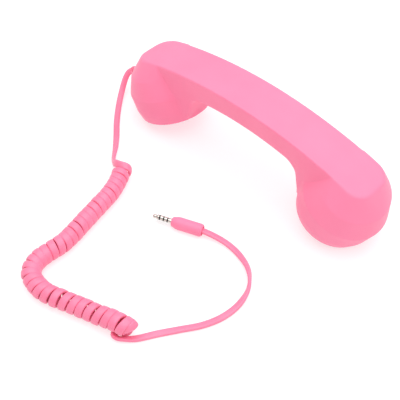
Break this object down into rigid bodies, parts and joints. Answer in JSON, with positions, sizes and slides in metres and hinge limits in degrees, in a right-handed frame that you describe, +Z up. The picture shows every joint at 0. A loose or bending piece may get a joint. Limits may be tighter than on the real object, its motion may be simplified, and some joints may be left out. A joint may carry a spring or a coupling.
{
  "type": "telephone handset",
  "caption": "Retro telephone handset with an arched handle, a tilted round cup at each end, keys under the handle and a curly cord that ends in a small audio plug.",
  "frame": {"origin": "middle of the handset's footprint on the table that the two cup rims rest on", "axes": "+X along the handle from the mouthpiece to the earpiece, +Z up, +Y away from the side that the cord lies on"},
  "size_m": [0.2405, 0.2147, 0.067],
  "materials": {
    "pink_shell": "soft-touch satin, pink",
    "pink_rubber": "smooth satin jacket, pink",
    "black_plastic": "moulded, matt",
    "black_rubber": "matt",
    "laminate": "green solder mask",
    "foam": "open-cell foam",
    "paper": "pressed paper cone",
    "steel": "zinc plated",
    "aluminium": "drawn can",
    "nickel": "nickel plated"
  },
  "bodies": {
    "handset": {"back_shell": "pink_shell", "handle_cover": "pink_shell", "earpiece_cap": "pink_shell", "mouthpiece_cap": "pink_shell", "call_switch": "black_plastic", "volume_up_switch": "black_plastic", "volume_down_switch": "black_plastic", "control_board": "laminate", "handle_weight": "steel", "cover_screw_1": "steel", "cover_screw_2": "steel", "board_screw_1": "steel", "board_screw_2": "steel", "weight_screw_1": "steel", "weight_screw_2": "steel", "speaker_gasket": "foam", "speaker_frame": "steel", "speaker_cone": "paper", "speaker_magnet": "steel", "speaker_terminals": "laminate", "microphone_screen": "foam", "microphone_boot": "black_rubber", "microphone_capsule": "aluminium", "speaker_wires": "black_rubber", "microphone_wires": "black_rubber", "cord_inner": "pink_rubber", "cord_clamp": "black_plastic", "clamp_screw": "steel", "strain_relief": "pink_rubber", "cord_lead": "pink_rubber", "cord_coil": "pink_rubber", "cord_tail": "pink_rubber", "plug_housing": "pink_shell", "plug_sleeve": "nickel", "plug_insulator_1": "black_plastic", "plug_ring_2": "nickel", "plug_insulator_2": "black_plastic", "plug_ring_1": "nickel", "plug_insulator_3": "black_plastic", "plug_tip": "nickel"},
    "call_key": {"call_button": "pink_shell", "call_plunger": "black_plastic"},
    "volume_up_key": {"volume_up_button": "pink_shell", "volume_up_plunger": "black_plastic"},
    "volume_down_key": {"volume_down_button": "pink_shell", "volume_down_plunger": "black_plastic"}
  },
  "joints": [
    {"name": "call_press", "type": "slide", "parent": "handset", "child": "call_key", "axis": [0, 0, 1], "range_m": [0, 0.0007], "stiffness_N_per_m": 400, "springref_m": -0.001},
    {"name": "volume_up_press", "type": "slide", "parent": "handset", "child": "volume_up_key", "axis": [0, 0, 1], "range_m": [0, 0.0007], "stiffness_N_per_m": 400, "springref_m": -0.001},
    {"name": "volume_down_press", "type": "slide", "parent": "handset", "child": "volume_down_key", "axis": [0, 0, 1], "range_m": [0, 0.0007], "stiffness_N_per_m": 400, "springref_m": -0.001}
  ]
}
